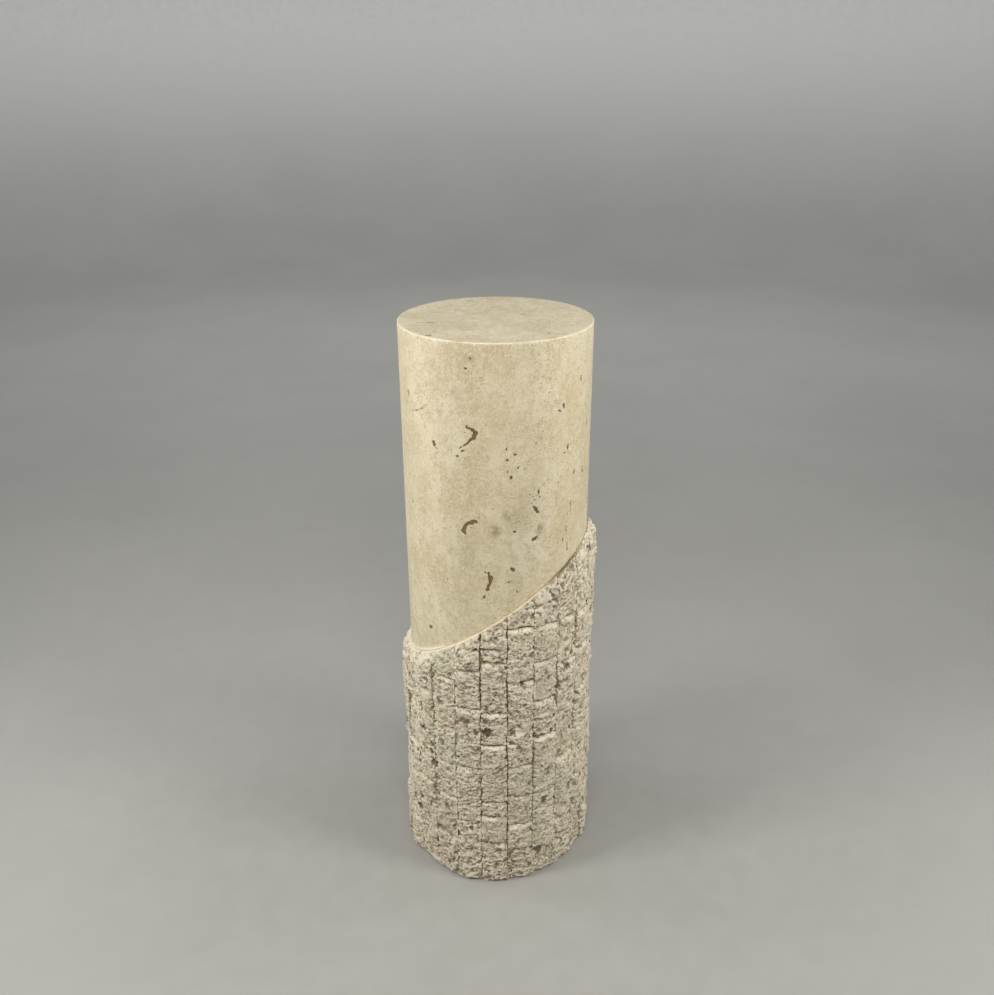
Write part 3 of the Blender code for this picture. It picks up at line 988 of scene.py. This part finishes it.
class Sheet:
    """The outer skin of one row as a grid, all in millimetres: across the row and up it."""

    def __init__(self, row, levels):
        self.row = row
        self.draw = random.Random(SEED + row.number)
        self.arc = (DRUM_RADIUS + SKIN_PROUD * MM) / MM
        lean = np.linspace(-1.0, 1.0, COLUMNS + 1)
        lean = 0.72 * lean + 0.28 * np.sin(lean * math.pi / 2)
        self.set_levels(levels, lean)
        self.set_columns(lean)
        edge = self.on_border(self.bearing)
        self.below = edge - self.up
        self.up = np.minimum(self.up, edge)

    def on_border(self, bearing):
        """Height of the slanted joint above a bearing, just under the drum's ledge."""
        reach = DRUM_RADIUS + EDGE_PROUD * MM
        return (border_height(reach * np.sin(bearing), -reach * np.cos(bearing)) - 0.3 * MM) / MM

    def set_levels(self, levels, lean):
        """Lays the grid's lines along the bed joints, which wander across the row."""
        row, draw = self.row, self.draw
        across = lean * ROW_ANGLE / 2 * self.arc
        top = self.on_border(row.middle + lean * ROW_ANGLE / 2)
        knots = [0]
        marks = [np.zeros(len(lean))]
        self.bed_lines = []
        for index, bed in enumerate(row.beds, start=1):
            tilt = draw.uniform(-0.05, 0.05)
            drift = 2.2 * wander(across, 10.0, row.number * 9.7 + index)
            drift += 1.0 * wander(across, 3.5, row.number * 3.7 + index)
            middle = round(bed / LEVEL_STEP)
            line = bed + tilt * across + drift
            for step, rise in ((-2, -2.0), (-1, -0.8), (0, 0.0), (1, 0.8), (2, 2.0)):
                knots.append(middle + step)
                marks.append(line + rise)
            self.bed_lines.append(line)
        knots.append(levels)
        marks.append(top)
        marks = np.array(marks)
        self.up = np.array([np.interp(np.arange(levels + 1), knots, marks[:, c])
                            for c in range(len(lean))]).T

    def set_columns(self, lean):
        """Draws each level in to the upright joints on its two sides."""
        before = (self.row.number - 2) % len(ROW_NAMES) + 1
        left_open, left_drift = joint_wall(before, self.up[:, 0])
        right_open, right_drift = joint_wall(self.row.number, self.up[:, -1])
        half_arc = ROW_ANGLE / 2 * self.arc
        self.left = (-half_arc + 0.3 * left_open + left_drift)[:, None]
        self.right = (half_arc - 0.3 * right_open + right_drift)[:, None]
        self.left_open, self.right_open = left_open[:, None], right_open[:, None]
        self.across = self.left + (self.right - self.left) * (lean + 1) / 2
        self.bearing = self.row.middle + self.across / self.arc

    def cast(self):
        """Radius of the CAD row's face under the sheet, softened: the large form."""
        row = self.row
        inner = np.clip(self.bearing, row.middle - row.half * 0.995, row.middle + row.half * 0.995)
        high = np.clip(self.up, 0.3, self.on_border(inner) - 0.4) * MM
        rays = [row.radius(b, h) for b, h in zip(inner.ravel().tolist(), high.ravel().tolist())]
        large = smooth(fill_gaps(np.array(rays).reshape(inner.shape)), 6) / MM
        flush = DRUM_RADIUS / MM + EDGE_PROUD + 6.5 * ease(self.below, 0.0, 18.0)
        to_side = np.minimum(self.across - self.left, self.right - self.across)
        return large + (flush - large) * 0.75 * np.exp(-to_side / 5.0)

    def carve(self):
        """Relief of the stones over the large form, and the colour values that go with it."""
        row, draw, up, across, bearing = self.row, self.draw, self.up, self.across, self.bearing
        stone = np.zeros(up.shape, int)
        groove = np.zeros(up.shape)
        to_bed = np.full(up.shape, 99.0)
        for index, line in enumerate(self.bed_lines, start=1):
            by_chance = (draw.choice((0.7, 1.2, 2.0, 3.2)), draw.uniform(0.8, 1.3))
            deep, half = OPEN_BEDS.get((row.number, index), by_chance)
            off = up - line[None, :]
            stone += off > -0.01
            strength = 0.75 + 0.9 * wander(across[0], 7.0, row.number * 5.3 + index * 2.9)
            strength = np.clip(strength, 0.12, 1.25)[None, :]
            groove += deep * strength * np.exp(-(off / half) ** 2)
            to_bed = np.minimum(to_bed, np.abs(off))

        count = len(row.beds) + 1
        skins = [STONE_SKINS.get((row.number, n), (draw.uniform(0.45, 1.3), draw.uniform(0.2, 1.2),
                                                   draw.choice((0.2, 0.6, 1.1)))) for n in range(count)]
        lumpy, flaky, pitted = (np.array(skins)[:, n][stone] for n in range(3))
        shift = np.array([[draw.uniform(-90, 90) for _ in range(3)] for _ in range(count)])[stone]
        proud = np.array([draw.uniform(-0.7, 0.7) for _ in range(count)])[stone]
        pale = np.array([draw.uniform(-0.6, 0.6) for _ in range(count)])[stone]
        green = np.array([draw.uniform(-0.8, 0.8) for _ in range(count)])[stone]
        slope = np.array([draw.uniform(-0.25, 0.25) for _ in range(count)])[stone]

        # Lumps, scoops with sharp ridges between them, thin level flakes, pits and grit
        spot = place_at(bearing, np.full_like(bearing, self.arc), up) + shift
        lumps = fractal(spot / 17.0)
        warped = spot + 3.6 * fractal(spot / 8.0, 2)[..., None]
        warped[..., 2] += slope * across
        facets = scoops(warped / np.array((17.0, 17.0, 12.0))) - 0.48
        chipped = scoops(warped / np.array((10.5, 10.5, 7.6))) - 0.48
        flakes = scoops(warped / np.array((12.5, 12.5, 5.2))) - 0.48
        grit = fractal(spot / 3.4)
        pits = ease(0.30 - scoops(spot / 5.6), 0.0, 0.16)
        worn = fractal(spot / 6.0, 2)
        coarse = ease(fractal((spot + 31.0) / 15.0, 2), -0.45, 0.35)

        relief = proud + 2.1 * lumpy * lumps + 3.8 * lumpy * facets
        relief += 3.6 * lumpy * chipped * (0.35 + 0.8 * coarse)
        relief += 2.9 * flaky * flakes * (1.15 - 0.7 * coarse) + (0.8 + 0.8 * coarse) * grit
        relief -= 2.2 * pitted * pits + groove + 0.7 * np.exp(-to_bed / 2.4)
        to_side = np.minimum(across - self.left, self.right - across)
        joint_open = np.where(across - self.left < self.right - across, self.left_open, self.right_open)
        relief -= (0.4 + 2.2 * joint_open) * np.exp(-to_side / (0.5 + 0.7 * joint_open))
        relief -= 3.4 * ease(worn, 0.22, 0.75) * np.exp(-to_side / 2.6)
        relief -= 2.6 * np.clip(1.0 + 1.8 * worn, 0.1, 2.6) * np.exp(-up / 3.2)

        # Darker in the open bed joints, in brown patches strewn by chance, and in the open upright
        # joints
        stain_and_shadow = np.maximum(0.55 * ease(groove, 1.2, 4.0),
                           0.80 * ease(fractal((spot - 17.0) / 14.0, 3), 0.12, 0.75))
        in_joint = np.exp(-(to_side / (0.5 + 0.9 * joint_open)) ** 2)
        stain_and_shadow = np.maximum(stain_and_shadow, 0.55 * ease(joint_open, 0.25, 1.0) * in_joint)
        for at, high, size, deep, brown in HOLLOWS:
            off = np.hypot(wrap(bearing - math.radians(at)) * self.arc, up - high) / size
            off = off * (1 + 0.35 * grit + 0.25 * worn)
            relief -= deep * np.exp(-off ** 4)
            stain_and_shadow = np.maximum(stain_and_shadow, brown * np.exp(-(off / 1.1) ** 4))

        # On the far left the sawn edge is worn away; elsewhere the relief fades at it
        worn_edge = side_share(bearing, -128.0, -30.0, 14.0)
        # Between bearings 27 and 58 degrees a painted shadow lies in patches along the slanted joint,
        # where the cream edge is left out
        painted_gap_shadow = side_share(bearing, 27.0, 58.0, 6.0) * ease(fractal(spot / 5.0, 2), -0.35, 0.25)
        rough_edge = side_share(bearing, 40.0, 130.0, 8.0)
        keep = ease(self.below, 0.3, 7.0)
        relief *= keep + (1 - keep) * (0.35 + 0.55 * worn_edge + 0.45 * rough_edge)
        relief -= worn_edge * np.clip(1.6 + 1.8 * worn, 0.0, 3.4) * np.exp(-self.below / 2.2)
        relief -= rough_edge * np.clip(1.2 + 2.2 * worn, 0.0, 3.4) * np.exp(-self.below / 2.6)
        relief -= 3.6 * side_share(bearing, 58.0, 130.0, 14.0) * np.exp(-self.below / 55.0)
        relief = np.where(relief > 0, 1.9 * np.tanh(relief / 1.9), relief)

        for at, high, half_width, half_height, paleness, greenness in PATCHES:
            wide = wrap(bearing - math.radians(at)) * self.arc / half_width
            weight = np.exp(-(wide ** 2 + ((up - high) / half_height) ** 2) ** 2)
            pale = pale * (1 - weight) + paleness * weight
            green = green * (1 - weight) + greenness * weight
        # Paler along the worn edge on the far left, and darker towards the floor
        pale = pale + 0.9 * worn_edge * np.exp(-self.below / 9.0) - 1.4 * np.exp(-up / 60.0)
        pale -= 0.35 * side_share(bearing, 30.0, 150.0, 25.0)
        sawn = np.exp(-(self.below / 1.1) ** 2) * (1 - 0.92 * painted_gap_shadow) * (1 - 0.40 * worn_edge)
        sawn *= 1 - 0.75 * rough_edge
        sawn = np.maximum(sawn, 0.60 * worn_edge * np.exp(-self.below / 4.5))
        ledge = side_share(bearing, 56.0, 86.0, 8.0)
        sawn = np.maximum(sawn, 0.55 * ledge * np.exp(-(self.below / 7.0) ** 2))
        # The painted shadow along the slanted joint
        stain_and_shadow = np.maximum(stain_and_shadow, painted_gap_shadow * 0.90 * np.exp(-(self.below / 3.0) ** 2))
        # Painted light from the relief: places above the relief round them get a painted highlight,
        # places below it painted shade
        fine, broad = relief - smooth(relief, 8), relief - smooth(relief, 50)
        painted_relief_light = np.clip(0.9 * fine + 0.22 * broad, -1.6, 1.6)

        # The flat top takes its values from the topmost level, which is kept even along the row
        # Between bearings 27 and 58 degrees the flat top gets the painted shadow as well
        painted_gap_shadow_on_top = side_share(bearing[-1], 27.0, 58.0, 6.0)
        stain_and_shadow[-1] = 0.55 * painted_gap_shadow_on_top
        sawn[-1] = 0.80 - 0.40 * painted_gap_shadow_on_top - 0.25 * rough_edge[-1]
        painted_relief_light[-1] = 0.0
        self.values = {"tone": pale, "hue": green, "painted_relief_light": painted_relief_light, "stain_and_shadow": stain_and_shadow, "sawn": sawn}
        return relief


def hew_row(name):
    """One row of split stones: a sheet laid round the CAD row, broken into stones, and closed behind."""
    row = Row(name)
    levels = round(border_height(*place_at(row.middle, DRUM_RADIUS, 0.0)[:2]) / MM / LEVEL_STEP)
    bpy.ops.object.select_all(action="DESELECT")
    bpy.ops.mesh.primitive_grid_add(x_subdivisions=COLUMNS, y_subdivisions=levels, size=2)
    piece = bpy.context.active_object
    piece.name = piece.data.name = f"hewn_row_{row.number:02d}"

    flat = read_points(piece)
    order = np.lexsort((flat[:, 0].round(6), flat[:, 1].round(6)))
    sheet = Sheet(row, levels)
    radius = np.maximum(sheet.cast() + sheet.carve(), DRUM_RADIUS / MM + 1.5)
    placed = place_at(sheet.bearing, radius * MM, sheet.up * MM).reshape(-1, 3)
    for axis in (0, 1):
        low, high = cad_box[0][axis] + 0.2 * MM, cad_box[1][axis] - 0.2 * MM
        placed[:, axis] = np.clip(placed[:, axis], low, high)
    points = np.empty_like(flat)
    points[order] = placed
    write_points(piece, points)
    for attribute, values in sheet.values.items():
        spread = np.empty(len(flat))
        spread[order] = values.ravel()
        write_attribute(piece, attribute, spread)

    # The rim of the sheet runs back to a flat sawn back, just clear of the drum's bed
    start_shaping(piece)
    bpy.ops.mesh.select_all(action="SELECT")
    bpy.ops.mesh.region_to_loop()
    bpy.ops.mesh.extrude_edges_move()

    def to_back(point):
        bearing = math.atan2(point.x, -point.y)
        near = row.back / math.cos(bearing - row.middle)
        x, y = near * math.sin(bearing), -near * math.cos(bearing)
        share = point.z / MM / sheet.on_border(bearing)
        return Vector((x, y, share * (border_height(x, y) - 0.3 * MM)))

    move_selected(piece, to_back)
    bpy.ops.mesh.edge_face_add()
    bpy.ops.mesh.select_all(action="SELECT")
    bpy.ops.mesh.normals_make_consistent(inside=False)
    stop_shaping()
    bpy.ops.object.shade_smooth_by_angle(angle=math.radians(42))
    return piece


# The honed drum
first_row = Row(ROW_NAMES[0])
FIRST_JOINT = first_row.middle - ROW_ANGLE / 2
honed = honed_limestone(FIRST_JOINT, ROW_ANGLE, DRUM_RADIUS, DRUM_TOP)
drum = make_drum()
drum.data.materials.append(honed)
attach(drum, "root")
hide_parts("smooth_shaft")

# The rows of split stones
split = split_limestone()
for row_name in ROW_NAMES:
    stones = hew_row(row_name)
    stones.data.materials.append(split)
    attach(stones, "root")
    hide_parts(row_name)


def make_floor():
    """A pale floor that sweeps up into a low round wall, well away from the pedestal."""
    bpy.ops.object.select_all(action="DESELECT")
    bpy.ops.mesh.primitive_circle_add(vertices=96, radius=0.8, fill_type="NGON")
    floor = bpy.context.active_object
    floor.name = floor.data.name = "floor"
    start_shaping(floor)
    bpy.ops.mesh.select_all(action="SELECT")
    bend = 2.0
    rings = [(2.5, 0.0), (5.0, 0.0)]
    rings += [(5.0 + bend * math.sin(t), bend * (1 - math.cos(t)))
              for t in (math.radians(a) for a in range(10, 91, 10))]
    rings.append((7.0, 3.4))
    bpy.ops.mesh.select_mode(type="EDGE")
    bpy.ops.mesh.select_all(action="SELECT")
    bpy.ops.mesh.region_to_loop()
    for radius, height in rings:
        bpy.ops.mesh.extrude_edges_move()

        def where(point, radius=radius, height=height):
            flat = Vector((point.x, point.y, 0.0)).normalized() * radius
            return Vector((flat.x, flat.y, height))

        move_selected(floor, where)
    stop_shaping()
    bpy.ops.object.shade_smooth_by_angle(angle=math.radians(40))
    floor.data.materials.append(studio_floor())


def soft_lamp(name, place, target, width, height, power, colour):
    """A rectangular soft box that faces a point."""
    light = bpy.data.lights.new(name, "AREA")
    light.shape = "RECTANGLE"
    light.size = width
    light.size_y = height
    light.energy = power
    light.color = colour
    lamp = bpy.data.objects.new(name, light)
    bpy.context.scene.collection.objects.link(lamp)
    lamp.location = place
    lamp.rotation_euler = (Vector(target) - Vector(place)).to_track_quat("-Z", "Y").to_euler()
    lamp.visible_camera = False


def light_studio():
    world = bpy.data.worlds.new("studio")
    world.use_nodes = True
    background = world.node_tree.nodes["Background"]
    background.inputs["Color"].default_value = (0.97, 0.98, 1.0, 1.0)
    background.inputs["Strength"].default_value = 0.30
    bpy.context.scene.world = world
    chest = (0.0, 0.0, 0.55)
    warm = (1.0, 0.985, 0.95)
    cool = (0.93, 0.97, 1.0)
    soft_lamp("left box", (-1.40, -0.66, 1.42), chest, 0.5, 0.7, 21.5, warm)
    soft_lamp("right box", (1.40, -0.66, 1.42), chest, 0.5, 0.7, 20.0, warm)
    soft_lamp("over box", (0.0, -1.55, 2.1), chest, 0.9, 0.7, 16, warm)
    soft_lamp("left edge box", (-1.4, 0.38, 1.30), chest, 0.5, 1.0, 7, cool)
    soft_lamp("right edge box", (1.4, 0.38, 1.30), chest, 0.5, 1.0, 5, cool)
    washes = (("back", 0, 1, 130), ("left", -1, 0, 40), ("right", 1, 0, 40), ("front", 0, -1, 40))
    for side, x, y, power in washes:
        lamp_place, on_wall = (2.4 * x, 2.4 * y, 3.4), (6.6 * x, 6.6 * y, 0.5)
        soft_lamp(f"{side} wall wash", lamp_place, on_wall, 5.0, 0.8, power, cool)
    bpy.context.scene.view_settings.view_transform = "Standard"


def aim_camera():
    """The photograph's camera: its place and angle, worked out from the rim, the foot and the sides."""
    focal_pixels = 967.9
    frame_pixels = 995
    pitch = math.radians(23.99)
    roll = math.radians(0.255)
    sensor = 36.0
    place = Vector((0.00098, -1.3622, 1.2361))
    lens = bpy.data.cameras.new("camera")
    lens.sensor_fit = "AUTO"
    lens.sensor_width = sensor
    lens.lens = sensor * focal_pixels / frame_pixels
    camera = bpy.data.objects.new("camera", lens)
    bpy.context.scene.collection.objects.link(camera)
    ahead = Vector((0.0, math.cos(pitch), -math.sin(pitch)))
    level = Vector((1.0, 0.0, 0.0))
    down = Vector((0.0, -math.sin(pitch), -math.cos(pitch)))
    right = level * math.cos(roll) + down * math.sin(roll)
    lower = down * math.cos(roll) - level * math.sin(roll)
    turn = Matrix((right, -lower, -ahead)).transposed().to_4x4()
    turn.translation = place
    camera.matrix_world = turn
    bpy.context.scene.camera = camera


make_floor()
light_studio()
aim_camera()
